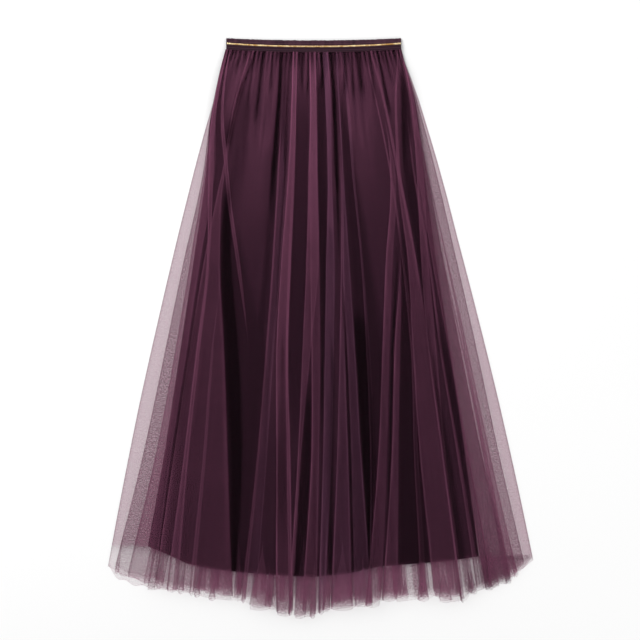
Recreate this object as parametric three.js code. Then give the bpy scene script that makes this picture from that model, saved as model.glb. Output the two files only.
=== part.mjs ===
// A full-length gathered tulle skirt, laid flat on a table.
// Millimetres. X runs across the skirt, Y from the hem up to the waist, Z up from the table.
// The origin is the middle of the skirt's footprint, on the table.
import * as THREE from "three";

// Driving sizes
const LENGTH = 925; // from the top of the waistband to the longest flute's hem
const HEM_WIDTH = 680; // across the laid hem, from side fold to side fold
const WALL = 1; // thickness of each panel's wall
const STEEP_WALL = 2.1; // the most that a wall measures upright, where a flute is steep
const SEAM_GAP = 0.3; // between pieces that touch or are sewn together

const TOP = LENGTH / 2;
const BOTTOM = -LENGTH / 2;
const SIDE = HEM_WIDTH / 2;

// The elastic waistband, pressed flat: its front half lies on its back half.
const BAND = {
  left: -151,
  right: 129.5,
  topSag: 3.5, // how much lower its edges lie in the middle than at the ends
  seamSag: 4.5,
  height: 17.5, // at the ends
  wall: 1.8,
  openAtTop: 0.5, // between the two halves
  openAtSeam: 3.4,
  steps: 28,
  rows: 3,
};
const SEAM = TOP - BAND.height; // height of the sewn line at the band's ends

// The round metallic cord sewn along the band's front.
const PIPING = {
  below: 7.5, // from the band's top edge to the cord's middle, at the ends
  sag: 5.2,
  width: 3.2,
  height: 1.7,
  round: [0.15, 0.8, 1, 0.8, 0.15], // its height across its width
  inset: 1.2,
  steps: 36,
};

// Where the side folds run: across the waist, at the knee line and at the hem.
const KNEE = 0.46; // the knee line, as a share of the way from waist to hem
const LEFT_FOLD = { waist: -154, knee: -249, hem: -SIDE, lift: 81 };
const RIGHT_FOLD = { waist: 131, knee: 248, hem: SIDE, lift: 87 };

// One row for each gather of the front, from left to right. At the waist they are evenly spaced.
// knee and hem are where the flute's crest runs, lift is how far its hem lies above the longest
// one's, and rise is how high the crest stands over its valleys at the hem.
const FLUTES = [
  { knee: -246, hem: -335, lift: 78, rise: 5 },
  { knee: -238, hem: -324, lift: 70, rise: 8 },
  { knee: -229, hem: -311, lift: 59, rise: 9 },
  { knee: -218, hem: -292, lift: 51, rise: 12 },
  { knee: -207, hem: -270, lift: 46, rise: 13 },
  { knee: -196, hem: -250, lift: 44, rise: 12 },
  { knee: -187, hem: -234, lift: 40, rise: 10 },
  { knee: -180, hem: -217, lift: 42, rise: 10 },
  { knee: -173, hem: -196, lift: 35, rise: 12 },
  { knee: -167, hem: -175, lift: 30, rise: 12 },
  { knee: -158, hem: -151, lift: 26, rise: 13 },
  { knee: -119, hem: -126, lift: 27, rise: 9 },
  { knee: -94, hem: -113, lift: 23, rise: 8 },
  { knee: -77, hem: -97, lift: 15, rise: 10 },
  { knee: -69, hem: -82, lift: 13, rise: 9 },
  { knee: -61, hem: -66, lift: 5, rise: 10 },
  { knee: -51, hem: -50, lift: 4, rise: 11 },
  { knee: -20, hem: -33, lift: 0, rise: 12 },
  { knee: -11, hem: -18, lift: 0, rise: 9 },
  { knee: 4, hem: -4, lift: 6, rise: 9 },
  { knee: 20, hem: 10, lift: 10, rise: 10 },
  { knee: 30, hem: 28, lift: 13, rise: 11 },
  { knee: 37, hem: 44, lift: 14, rise: 11 },
  { knee: 45, hem: 65, lift: 19, rise: 13 },
  { knee: 104, hem: 82, lift: 22, rise: 10 },
  { knee: 113, hem: 98, lift: 29, rise: 8 },
  { knee: 121, hem: 111, lift: 29, rise: 8 },
  { knee: 129, hem: 129, lift: 24, rise: 12 },
  { knee: 137, hem: 148, lift: 26, rise: 12 },
  { knee: 146, hem: 169, lift: 30, rise: 12 },
  { knee: 156, hem: 193, lift: 25, rise: 14 },
  { knee: 173, hem: 215, lift: 26, rise: 14 },
  { knee: 186, hem: 236, lift: 34, rise: 12 },
  { knee: 198, hem: 257, lift: 37, rise: 12 },
  { knee: 210, hem: 279, lift: 43, rise: 13 },
  { knee: 223, hem: 303, lift: 54, rise: 12 },
  { knee: 233, hem: 321, lift: 69, rise: 8 },
  { knee: 243, hem: 335, lift: 83, rise: 5 },
];
const FRONT_ROWS = [0, 0.04, 0.12, 0.25, KNEE, 0.66, 0.82, 0.945, 1];
const WAIST_RISE = 2.4; // height of a gather where it is sewn to the band
const RISE_POWER = 1.6; // the flutes open mostly near the hem
const STEEPEST = 0.58; // the most that a crest stands up, as a share of its flute's width
const SHOULDER = { along: 0.44, up: 0.72 }; // the point halfway round a flute's side
const VALLEY_LIFT = 3; // the hem lies this much higher between two flutes
const INNER_SHARE = 0.5; // how high the inner layer's flutes stand, against the outer's
const INNER_END = 0.82; // where the inner layer's hem lies, between the outer's last two rows
const FLUTE_ROOM = 0.8; // between the two layers of the front

// The opaque lining, cut narrower and shorter than the tulle.
const LINING = {
  waistInset: 7.5, // from the side fold to the lining's edge, at the waist
  leftInset: 70, // the same at its hem
  leftPower: 1.4,
  rightInset: 86,
  rightPower: 0.9,
  cornerLift: 116, // of its hem's corners over the longest flute's hem
  belly: 52, // how much lower its hem is in the middle than at its corners
  bellyPower: 2.6,
  waves: 10,
  waveHeight: 1.8,
  waveEdge: 30, // the waves fade out over this distance from its edges
  columns: 40,
  rows: 7,
};

// The two tulle panels of the back lie flat under everything.
const BACK = {
  cornerLift: 86,
  belly: 62,
  bellyPower: 2.2,
  innerLift: 14, // how much shorter the inner layer is than the outer one
  innerInset: 5,
  columns: 36,
  rows: 6,
};

// Heights of the flat panels over the table, each resting on the one before.
const LAYER = WALL + SEAM_GAP;
const BACK_OUTER = 0;
const BACK_INNER = LAYER;
const LINING_BACK = 2 * LAYER;
const LINING_FRONT = 3 * LAYER;
const OVER_LINING = 4 * LAYER;
const STEP_START = 30; // the front comes down this far past the lining's hem
const STEP_DOWN = 40; // over this distance
const LINING_ROOM = 0.4; // between the lining's waves and the front over them

const mix = (from, to, share) => from + (to - from) * share;
const clamp01 = (value) => Math.min(1, Math.max(0, value));
const smooth = (value) => {
  const share = clamp01(value);
  return share * share * (3 - 2 * share);
};

// A line that runs from the waist through the knee line to the hem, in one soft curve.
function along(line, share) {
  const atWaist = ((share - KNEE) * (share - 1)) / KNEE;
  const atKnee = (share * (1 - share)) / (KNEE * (1 - KNEE));
  const atHem = (share * (share - KNEE)) / (1 - KNEE);
  return atWaist * line.waist + atKnee * line.knee + atHem * line.hem;
}

// How far across the band a point is: -1 and 1 at its ends, 0 in the middle.
function acrossBand(x) {
  const middle = (BAND.left + BAND.right) / 2;
  return (x - middle) / ((BAND.right - BAND.left) / 2);
}

const sag = (x, depth) => depth * (1 - Math.min(1, acrossBand(x) ** 2));
const seamY = (x) => SEAM - sag(x, BAND.seamSag);

// A closed solid between a top and a bottom surface over a grid of columns and rows.
// place(column, row) gives { x, y, bottom, top }. Columns run towards +X, rows towards -Y.
function sheetGeometry(columns, rows, place) {
  const positions = [];
  const indices = [];
  for (let column = 0; column <= columns; column++)
    for (let row = 0; row <= rows; row++) {
      const point = place(column, row);
      positions.push(point.x, point.y, point.top);
      positions.push(point.x, point.y, point.bottom);
    }
  const above = (column, row) => 2 * (column * (rows + 1) + row);
  const below = (column, row) => above(column, row) + 1;
  const quad = (a, b, c, d) => indices.push(a, b, c, a, c, d);

  for (let i = 0; i < columns; i++)
    for (let j = 0; j < rows; j++) {
      quad(above(i, j), above(i, j + 1), above(i + 1, j + 1), above(i + 1, j));
      quad(below(i, j), below(i + 1, j), below(i + 1, j + 1), below(i, j + 1));
    }
  for (let j = 0; j < rows; j++) {
    quad(above(0, j), below(0, j), below(0, j + 1), above(0, j + 1));
    quad(above(columns, j), above(columns, j + 1), below(columns, j + 1), below(columns, j));
  }
  for (let i = 0; i < columns; i++) {
    quad(above(i, 0), above(i + 1, 0), below(i + 1, 0), below(i, 0));
    quad(above(i, rows), below(i, rows), below(i + 1, rows), above(i + 1, rows));
  }
  return indexed(positions, indices);
}

function indexed(positions, indices) {
  const geometry = new THREE.BufferGeometry();
  geometry.setAttribute("position", new THREE.Float32BufferAttribute(positions, 3));
  geometry.setIndex(indices);
  geometry.computeVertexNormals();
  return geometry;
}

// The front's gathers. Flute n has its crest at line n and its valleys halfway to its neighbours.
const pitch = (RIGHT_FOLD.waist - LEFT_FOLD.waist) / FLUTES.length;
const crests = FLUTES.map((flute, n) => ({
  ...flute,
  waist: LEFT_FOLD.waist + (n + 0.5) * pitch,
}));
const halfway = (a, b) => ({
  waist: (a.waist + b.waist) / 2,
  knee: (a.knee + b.knee) / 2,
  hem: (a.hem + b.hem) / 2,
  lift: (a.lift + b.lift) / 2 + VALLEY_LIFT,
});
const valleys = [LEFT_FOLD];
for (let n = 1; n < crests.length; n++) valleys.push(halfway(crests[n - 1], crests[n]));
valleys.push(RIGHT_FOLD);

// A fold line's place at a share of the way from the band to its hem.
function linePoint(line, share) {
  const from = seamY(line.waist) - SEAM_GAP;
  return { x: along(line, share), y: mix(from, BOTTOM + line.lift, share) };
}

function crestRise(n, share) {
  const crest = along(crests[n], share);
  const left = crest - along(valleys[n], share);
  const right = along(valleys[n + 1], share) - crest;
  const wanted = mix(WAIST_RISE, crests[n].rise, share ** RISE_POWER);
  return Math.min(wanted, 2 * STEEPEST * Math.min(left, right));
}

// The lining's outline. Its edges run inside the side folds, and its hem sags in the middle.
function liningEdge(fold, share) {
  const left = fold === LEFT_FOLD;
  const hemInset = left ? LINING.leftInset : LINING.rightInset;
  const power = left ? LINING.leftPower : LINING.rightPower;
  const inset = mix(LINING.waistInset, hemInset, share ** power);
  return along(fold, share) + (left ? inset : -inset);
}

function bellyHem(shape, across) {
  return BOTTOM + shape.cornerLift - shape.belly * (1 - Math.abs(across) ** shape.bellyPower);
}

// How far the lining reaches under a point of the front: 1 over it, 0 past its edges.
function overLining(point, share) {
  const left = along(LEFT_FOLD, share) + pitch / 2;
  const right = along(RIGHT_FOLD, share) - pitch / 2;
  const leftEdge = liningEdge(LEFT_FOLD, share);
  const rightEdge = liningEdge(RIGHT_FOLD, share);
  const fromLeft = smooth((point.x - left) / (leftEdge - left));
  const fromRight = smooth((right - point.x) / (right - rightEdge));
  const across = (2 * (point.x - leftEdge)) / (rightEdge - leftEdge) - 1;
  const hem = bellyHem(LINING, Math.max(-1, Math.min(1, across)));
  return Math.min(fromLeft, fromRight) * smooth(1 - (hem - STEP_START - point.y) / STEP_DOWN);
}

function liningPoint(column, row) {
  const share = row / LINING.rows;
  const across = (2 * column) / LINING.columns - 1;
  const reach = (bellyHem(LINING, across) - SEAM) / (BOTTOM - SEAM);
  const left = liningEdge(LEFT_FOLD, share * reach);
  const right = liningEdge(RIGHT_FOLD, share * reach);
  const x = mix(left, right, (across + 1) / 2);
  const from = seamY(mix(liningEdge(LEFT_FOLD, 0), liningEdge(RIGHT_FOLD, 0), (across + 1) / 2));
  const y = mix(from - SEAM_GAP, bellyHem(LINING, across), share);
  const fromEdge = Math.min(x - left, right - x);
  const swell = (1 - Math.cos(Math.PI * LINING.waves * (across + 1))) / 2;
  const wave = LINING.waveHeight * swell * smooth(fromEdge / LINING.waveEdge) * smooth(2 * share);
  return { x, y, wave };
}

// The inner layer of the front: its valleys rest on the lining, or past it on the back.
function innerBottom(point, share) {
  const wave = (LINING.waveHeight + LINING_ROOM) * smooth(2 * share);
  return LINING_BACK + (OVER_LINING + wave - LINING_BACK) * overLining(point, share);
}

// The wall keeps its thickness on a slope, so it measures more straight up.
function upright(slope) {
  return Math.min(STEEP_WALL, WALL * Math.hypot(1, slope));
}
const INNER_WALL = upright(STEEPEST);
const OVER_INNER = INNER_WALL + FLUTE_ROOM;

// A column of the inner layer is a valley or a crest, from the first crest to the last.
function innerPoint(column, row) {
  const last = FRONT_ROWS.length - 1;
  if (row < last) return innerRowPoint(column, FRONT_ROWS[row]);
  const before = innerRowPoint(column, FRONT_ROWS[last - 1]);
  const end = innerRowPoint(column, 1);
  const part = (key) => mix(before[key], end[key], INNER_END);
  return { x: part("x"), y: part("y"), bottom: part("bottom"), top: part("top") };
}

function innerRowPoint(column, share) {
  const n = Math.ceil(column / 2);
  const onCrest = column % 2 === 0;
  const line = onCrest ? crests[n] : valleys[n];
  const point = linePoint(line, share);
  const inside = column > 0 && column < 2 * (crests.length - 1);
  const rise = onCrest && inside ? INNER_SHARE * crestRise(n, share) : 0;
  const bottom = innerBottom(point, share) + rise;
  return { ...point, bottom, top: bottom + INNER_WALL };
}

// A column of the outer layer is a valley, a shoulder, a crest or a shoulder.
function outerPoint(column, row) {
  const n = Math.floor(column / 4);
  const part = column % 4;
  const share = FRONT_ROWS[row];
  const valley = linePoint(part === 3 ? valleys[n + 1] : valleys[n], share);
  if (part === 0) {
    const onFold = n === 0 || n === crests.length;
    const bottom = onFold ? LAYER : innerBottom(valley, share) + OVER_INNER;
    return { ...valley, bottom, top: bottom + WALL };
  }
  const crest = linePoint(crests[n], share);
  const rise = crestRise(n, share);
  const onCrest = part === 2;
  const towards = onCrest ? 1 : SHOULDER.along;
  const lowest = mix(innerBottom(valley, share), innerBottom(crest, share), towards);
  const bottom = lowest + OVER_INNER + (onCrest ? 1 : SHOULDER.up) * rise;
  const slope = onCrest ? 0 : (2 * SHOULDER.up * rise) / Math.abs(crest.x - valley.x);
  const x = mix(valley.x, crest.x, towards);
  const y = mix(valley.y, crest.y, towards);
  return { x, y, bottom, top: bottom + upright(slope) };
}

// The back panels follow the side folds and end in a hem that sags in the middle.
function backPoint(column, row, inset, shorter, height) {
  const share = row / BACK.rows;
  const across = (2 * column) / BACK.columns - 1;
  const left = along(LEFT_FOLD, share) + inset;
  const right = along(RIGHT_FOLD, share) - inset;
  const x = mix(left, right, (across + 1) / 2);
  const waistX = mix(LEFT_FOLD.waist + inset, RIGHT_FOLD.waist - inset, (across + 1) / 2);
  const y = mix(seamY(waistX) - SEAM_GAP, bellyHem(BACK, across) + shorter, share);
  return { x, y, bottom: height, top: height + WALL };
}

// The band's front face, from its top edge (down 0) to the seam (down 1).
function bandEdgeY(x, down) {
  return mix(TOP - sag(x, BAND.topSag), seamY(x), down);
}

function bandInside(down) {
  return BAND.wall + mix(BAND.openAtTop, BAND.openAtSeam, down);
}

function waistbandGeometry() {
  const positions = [];
  const indices = [];
  const rows = BAND.rows;
  const around = 2 * (BAND.steps + 1);
  for (let k = 0; k < around; k++)
    for (let j = 0; j <= rows; j++) {
      const front = k <= BAND.steps;
      const step = front ? k : around - 1 - k;
      const down = j / rows;
      const x = mix(BAND.left, BAND.right, step / BAND.steps);
      const insideX = mix(BAND.left + BAND.wall, BAND.right - BAND.wall, step / BAND.steps);
      const inside = bandInside(down);
      positions.push(x, bandEdgeY(x, down), front ? inside + BAND.wall : 0);
      positions.push(insideX, bandEdgeY(x, down), front ? inside : BAND.wall);
    }
  const outer = (k, j) => 2 * ((k % around) * (rows + 1) + j);
  const inner = (k, j) => outer(k, j) + 1;
  const quad = (a, b, c, d) => indices.push(a, b, c, a, c, d);
  for (let k = 0; k < around; k++) {
    for (let j = 0; j < rows; j++) {
      quad(outer(k, j), outer(k, j + 1), outer(k + 1, j + 1), outer(k + 1, j));
      quad(inner(k, j), inner(k + 1, j), inner(k + 1, j + 1), inner(k, j + 1));
    }
    quad(outer(k, 0), outer(k + 1, 0), inner(k + 1, 0), inner(k, 0));
    quad(outer(k, rows), inner(k, rows), inner(k + 1, rows), outer(k + 1, rows));
  }
  return indexed(positions, indices);
}

// The piping is half round and lies on the band's front face, moved out by the seam gap.
function pipingPoint(column, row) {
  const share = row / (PIPING.round.length - 1);
  const ends = { left: BAND.left + PIPING.inset, right: BAND.right - PIPING.inset };
  const x = mix(ends.left, ends.right, column / PIPING.steps);
  const middle = TOP - PIPING.below - sag(x, PIPING.sag);
  const y = middle + PIPING.width * (0.5 - share);
  const top = bandEdgeY(x, 0);
  const down = (top - y) / (top - bandEdgeY(x, 1));
  const bottom = bandInside(down) + BAND.wall + SEAM_GAP;
  return { x, y, bottom, top: bottom + PIPING.height * PIPING.round[row] };
}

// Materials
const cloth = (color, roughness) =>
  new THREE.MeshStandardMaterial({ color, roughness, side: THREE.FrontSide });
const outerTulle = cloth(0x4a2a3a, 0.85);
const innerTulle = cloth(0x3c2230, 0.85);
const liningSatin = cloth(0x21111b, 0.55);
const ribbedElastic = cloth(0x3b2431, 0.7);
const goldCord = new THREE.MeshStandardMaterial({ color: 0xa08050, roughness: 0.4, metalness: 0.8 });

// The pieces
const skirt = new THREE.Group();
skirt.name = "tulle_skirt";

function addPiece(name, geometry, material) {
  const mesh = new THREE.Mesh(geometry, material);
  mesh.name = name;
  skirt.add(mesh);
}

const frontRows = FRONT_ROWS.length - 1;
const outerBack = (i, j) => backPoint(i, j, 0, 0, BACK_OUTER);
const innerBack = (i, j) => backPoint(i, j, BACK.innerInset, BACK.innerLift, BACK_INNER);
const liningBack = (i, j) => ({ ...liningPoint(i, j), bottom: LINING_BACK, top: LINING_BACK + WALL });
const liningFront = (i, j) => {
  const point = liningPoint(i, j);
  const bottom = LINING_FRONT + point.wave;
  return { ...point, bottom, top: bottom + WALL };
};

addPiece("waistband", waistbandGeometry(), ribbedElastic);
addPiece("gold_piping", sheetGeometry(PIPING.steps, PIPING.round.length - 1, pipingPoint), goldCord);
addPiece("tulle_outer_back", sheetGeometry(BACK.columns, BACK.rows, outerBack), outerTulle);
addPiece("tulle_inner_back", sheetGeometry(BACK.columns, BACK.rows, innerBack), innerTulle);
addPiece("lining_back", sheetGeometry(LINING.columns, LINING.rows, liningBack), liningSatin);
addPiece("lining_front", sheetGeometry(LINING.columns, LINING.rows, liningFront), liningSatin);
addPiece("tulle_inner_front", sheetGeometry(2 * (crests.length - 1), frontRows, innerPoint), innerTulle);
addPiece("tulle_outer_front", sheetGeometry(4 * crests.length, frontRows, outerPoint), outerTulle);

export default skirt;
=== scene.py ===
# %% [markdown]
# # A tulle skirt, laid flat
#
# This lesson dresses a full-length tulle skirt in Blender. The solids of the skirt come from a
# imported model, the frame, which says where each cloth panel lies. Every panel is then built again as
# a thin sheet of real cloth, with its folds, its net and its raw hem.
# The frame is loaded first, and its boxes set the skirt's sizes.

# %% Load the frame
import math
from collections import namedtuple

import bpy
import numpy as np
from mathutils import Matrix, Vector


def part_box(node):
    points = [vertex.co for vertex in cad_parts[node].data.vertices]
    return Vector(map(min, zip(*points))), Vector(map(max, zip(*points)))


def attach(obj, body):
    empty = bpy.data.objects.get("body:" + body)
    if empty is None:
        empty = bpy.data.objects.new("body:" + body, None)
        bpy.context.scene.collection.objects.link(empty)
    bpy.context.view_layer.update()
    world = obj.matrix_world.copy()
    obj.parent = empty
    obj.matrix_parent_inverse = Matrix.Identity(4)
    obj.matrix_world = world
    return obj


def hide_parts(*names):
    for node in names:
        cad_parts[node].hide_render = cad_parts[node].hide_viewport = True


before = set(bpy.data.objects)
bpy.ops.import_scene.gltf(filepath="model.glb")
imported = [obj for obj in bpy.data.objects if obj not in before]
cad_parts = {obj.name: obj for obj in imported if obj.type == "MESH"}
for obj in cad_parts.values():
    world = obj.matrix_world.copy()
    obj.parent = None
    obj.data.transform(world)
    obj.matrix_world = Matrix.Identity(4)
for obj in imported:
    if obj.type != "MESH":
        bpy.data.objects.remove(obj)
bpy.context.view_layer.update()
print("nodes:", sorted(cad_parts))

# %% [markdown]
# ## Places on the skirt
#
# A fold of a laid skirt runs from the waist to the hem in a fan, so plain X and Y are awkward for
# it. Two shares are easier: `across` runs from the left side fold (0) to the right one (1), and
# `down` runs from the waist seam (0) to the longest point of the hem (1). The side folds are soft
# curves whose ends come from the frame's boxes.

# %% From shares to metres
MM = 0.001
band_low, band_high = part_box("waistband")
skirt_low, skirt_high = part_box("tulle_outer_front")
SEAM_ENDS = skirt_high[1] + 0.3 * MM
SEAM_SAG = SEAM_ENDS - band_low[1]
LOWEST = skirt_low[1]
SKIRT_LENGTH = SEAM_ENDS - LOWEST
SIDE_HEM = 0.912  # how far down the side folds reach
WAIST_LEFT, WAIST_RIGHT = -154.4 * MM, 130.4 * MM
BOW = 0.2  # how much the side folds bow outwards on their way
SIDE_ROWS = (0, 0.025, 0.05, 0.087, 0.104, 0.14, 0.193, 0.263, 0.334, 0.475, 0.617, 1)
LEFT_IN = (3.2, 3.0, 3.7, 5.3, 5.2, 3.7, 2.8, 2.3, 1.8, 1.2, 0, 0)  # mm that the left fold lies further in
RIGHT_OUT = (-1.0, -1.7, 0.3, 2.6, 2.9, 3.4, 4.0, 3.7, 2.6, 2.6, 3.0, 2.2)  # mm further out, on the right
SIDE_REACH = 0.03  # how far in from the sides these are felt
SLIDE_ROWS = (0, 0.08, 0.14, 0.21, 0.55, 0.76, 0.9)
SLIDE = (0.009, 0.009, 0.0075, 0.0045, 0.004, 0.002, 0)  # the cloth's middle lies a little to the right


def mix(a, b, t):
    return a + (b - a) * t


def smooth(t):
    t = np.clip(t, 0, 1)
    return t * t * (3 - 2 * t)


def side_fold(waist, hem, down):
    t = down / SIDE_HEM
    return waist + (hem - waist) * (t + BOW * t * (1 - t))


def place_x(across, down):
    slide = np.interp(down, SLIDE_ROWS, SLIDE) * smooth((0.91 - across) / 0.1)
    slide = slide * smooth((across - mix(0.07, 0.26, smooth((down - 0.2) / 0.15))) / 0.07)
    left = side_fold(WAIST_LEFT, skirt_low[0], down)
    right = side_fold(WAIST_RIGHT, skirt_high[0], down)
    left = left + np.interp(down, SIDE_ROWS, LEFT_IN) * MM * np.exp(-across / SIDE_REACH)
    right = right + np.interp(down, SIDE_ROWS, RIGHT_OUT) * MM * np.exp((across - 1) / SIDE_REACH)
    return mix(left, right, across + slide)


def seam_y(across):
    return SEAM_ENDS - SEAM_SAG * (1 - (2 * np.clip(across, 0, 1) - 1) ** 2)


def place_y(across, down):
    return mix(seam_y(across), LOWEST, down)


def down_at(lift):
    """The share down of a hem that lies this high over the longest point."""
    return 1 - lift / SKIRT_LENGTH


print(f"skirt {SKIRT_LENGTH:.3f} m from seam to hem, {skirt_high[0] - skirt_low[0]:.3f} m wide")

# %% [markdown]
# ## The camera and the light
#
# The skirt was photographed square on, so the camera looks straight down at it. A long lens keeps
# the sides from leaning. The floor is pale and the light broad: a white sky from all round and one
# large soft lamp from above the waist, so that raised folds get a lit and a shaded side.

# %% Camera
PHOTO_WIDTH = 1.024  # metres of floor across the picture
PHOTO_CENTRE = (-0.8 * MM, 12.8 * MM)
LENS = 85
SENSOR = 36

scene = bpy.context.scene


def add_object(name, data, place=(0, 0, 0)):
    item = bpy.data.objects.new(name, data)
    item.location = place
    scene.collection.objects.link(item)
    return item


camera_data = bpy.data.cameras.new("camera")
camera_data.lens = LENS
camera_data.sensor_width = SENSOR
camera = add_object("camera", camera_data, (*PHOTO_CENTRE, PHOTO_WIDTH * LENS / SENSOR))
scene.camera = camera
print(f"camera {camera.location.z:.2f} m above the floor")

# %% Floor and light
FLOOR_SIZE = 6
FLOOR_SHADE = 0.88
SKY = 0.72


def plain_material(name, colour, roughness, specular=0.05):
    material = bpy.data.materials.new(name)
    material.use_nodes = True
    shader = material.node_tree.nodes["Principled BSDF"]
    shader.inputs["Base Color"].default_value = (*colour, 1)
    shader.inputs["Roughness"].default_value = roughness
    shader.inputs["Specular IOR Level"].default_value = specular
    return material


half = FLOOR_SIZE / 2
corners = [(-half, -half, 0), (half, -half, 0), (half, half, 0), (-half, half, 0)]
floor_mesh = bpy.data.meshes.new("floor")
floor_mesh.from_pydata(corners, [], [(0, 1, 2, 3)])
floor_mesh.materials.append(plain_material("pale_floor", (FLOOR_SHADE,) * 3, 0.9, 0.1))
floor = add_object("floor", floor_mesh, (0, 0, -0.2 * MM))

world = bpy.data.worlds.new("studio")
world.use_nodes = True
sky = world.node_tree.nodes["Background"]
sky.inputs["Color"].default_value = (1, 1, 1, 1)
sky.inputs["Strength"].default_value = SKY
scene.world = world


def soft_lamp(name, place, size, power):
    """A square lamp that is aimed at the middle of the skirt."""
    lamp = bpy.data.lights.new(name, "AREA")
    lamp.shape = "SQUARE"
    lamp.size = size
    lamp.energy = power
    lamp_object = add_object(name, lamp, place)
    direction = -np.array(place)
    yaw = math.atan2(direction[0], -direction[1])
    pitch = math.acos(-direction[2] / np.linalg.norm(direction))
    lamp_object.rotation_euler = (-pitch, 0, yaw)


soft_lamp("key_lamp", (-1.6, 1.4, 1.9), 1.2, 42)
soft_lamp("fill_lamp", (1.9, -0.6, 1.7), 1.6, 14)
scene.view_settings.view_transform = "Standard"
scene.cycles.transparent_max_bounces = 40

# %% [markdown]
# ## Net as a shader
#
# Tulle is a net of hexagonal holes about a millimetre wide. Drawn as geometry it would be millions
# of threads, so it is a pattern in the material: three cosine waves, sixty degrees apart, add up to
# a honeycomb. The pattern sets how much of the light the net stops. A node group holds it, because
# both the outer and the inner net use it, each with its own size of hole.
# How tightly the net lies is different at each place: a fold's edge is seen along the threads, and
# stops far more light. The meshes carry that as a value named `cover`, a shade of their colour as
# `tint`, and how much of the net's pattern shows as `grain`.

# %% Node helpers
def add_node(tree, kind, **settings):
    node = tree.nodes.new(kind)
    for key, value in settings.items():
        setattr(node, key, value)
    return node


def math_node(tree, operation, a, b=None, clamp=False):
    node = add_node(tree, "ShaderNodeMath", operation=operation, use_clamp=clamp)
    for socket, value in zip(node.inputs, (a, b)):
        if value is None:
            continue
        if hasattr(value, "is_linked"):
            tree.links.new(value, socket)
        else:
            socket.default_value = value
    return node.outputs[0]


def new_group(name, inputs, outputs):
    """A shader node group with named number sockets, and its inside."""
    group = bpy.data.node_groups.new(name, "ShaderNodeTree")
    for label, kind, value in inputs:
        socket = group.interface.new_socket(label, in_out="INPUT", socket_type=kind)
        if value is not None:
            socket.default_value = value
    for label, kind in outputs:
        group.interface.new_socket(label, in_out="OUTPUT", socket_type=kind)
    return group, group.nodes.new("NodeGroupInput"), group.nodes.new("NodeGroupOutput")


# %% The honeycomb net
net_group, net_in, net_out = new_group(
    "honeycomb_net",
    [("Cloth Place", "NodeSocketVector", None), ("Hole Size", "NodeSocketFloat", 1.0 * MM)],
    [("Threads", "NodeSocketFloat")],
)
waves = []
for angle in (0, 60, 120):
    turn = math.radians(angle)
    dot = add_node(net_group, "ShaderNodeVectorMath", operation="DOT_PRODUCT")
    net_group.links.new(net_in.outputs["Cloth Place"], dot.inputs[0])
    dot.inputs[1].default_value = (math.cos(turn), math.sin(turn), 0)
    phase = math_node(net_group, "DIVIDE", dot.outputs["Value"], net_in.outputs["Hole Size"])
    waves.append(math_node(net_group, "COSINE", math_node(net_group, "MULTIPLY", phase, 2 * math.pi)))
total = math_node(net_group, "ADD", math_node(net_group, "ADD", waves[0], waves[1]), waves[2])
# The sum is 3 in a hole's middle and -1.5 along the threads.
threads = math_node(net_group, "SUBTRACT", 0.35, total)
threads = math_node(net_group, "MULTIPLY", threads, 1.6, clamp=True)
net_group.links.new(threads, net_out.inputs["Threads"])
print("net group nodes:", len(net_group.nodes))


# %% [markdown]
# The tulle's colour changes with the light that reaches its threads. `lit` says so: 0 for net deep in
# a trough, 1 for net in the open, 2 for a thin ply lying on the pale floor, which shines through it.
# `tint` goes from plum to violet. Net over net lets through less and less, so `cover` is per ply.
# Its shadow is much weaker than its colour, as soft light gets in under a thin net from all sides.
# The Light Path node that says so stays in the material, not in the group.

# %% Net colour and cover, as a group
PLUM = (0.118, 0.037, 0.068)
VIOLET = (0.094, 0.037, 0.069)
# DEEP is painted shade, for net deep in a trough; SHINE_THROUGH is painted light, the floor shining through
# a thin ply.
DEEP = (0.011, 0.0035, 0.0062)
SHINE_THROUGH = (0.26, 0.085, 0.155)
MEAN_THREADS = 0.5
NET_CONTRAST = 0.7

shade_group, shade_in, shade_out = new_group(
    "net_shade",
    [("Threads", "NodeSocketFloat", 0.5), ("Cover", "NodeSocketFloat", 0.2),
     ("Lit", "NodeSocketFloat", 1.0), ("Tint", "NodeSocketFloat", 0.0)],
    [("Color", "NodeSocketColor"), ("Stopped", "NodeSocketFloat")],
)


def mix_colours(tree, factor, a, b):
    node = add_node(tree, "ShaderNodeMix", data_type="RGBA", clamp_factor=True)
    tree.links.new(factor, node.inputs["Factor"])
    for label, value in (("A", a), ("B", b)):
        if hasattr(value, "is_linked"):
            tree.links.new(value, node.inputs[label])
        else:
            node.inputs[label].default_value = (*value, 1)
    return node.outputs["Result"]


def colour_by(material, factor, dark, light):
    tree = material.node_tree
    shader = tree.nodes["Principled BSDF"]
    tree.links.new(mix_colours(tree, factor, dark, light), shader.inputs["Base Color"])


own = mix_colours(shade_group, shade_in.outputs["Tint"], PLUM, VIOLET)
shaded = mix_colours(shade_group, shade_in.outputs["Lit"], DEEP, own)
through = math_node(shade_group, "SUBTRACT", shade_in.outputs["Lit"], 1.0)
shade_group.links.new(mix_colours(shade_group, through, shaded, SHINE_THROUGH), shade_out.inputs["Color"])
# Between threads the net stops about two thirds of its share, and on them a third more than it, so
# the mean is its share.
net_share = math_node(shade_group, "MULTIPLY", shade_in.outputs["Threads"], NET_CONTRAST)
share = math_node(shade_group, "ADD", net_share, 1 - MEAN_THREADS * NET_CONTRAST)
shade_group.links.new(
    math_node(shade_group, "MULTIPLY", shade_in.outputs["Cover"], share), shade_out.inputs["Stopped"])


# %% Tulle materials
def attribute_node(tree, label):
    return add_node(tree, "ShaderNodeAttribute", attribute_name=label).outputs["Fac"]


GRAIN_SIZE = 2.2 * MM  # the net lies a little unevenly
GRAIN = 2.0
SHADOW_SHARE = 0.12  # how much of its colour the net's shadow has


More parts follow.
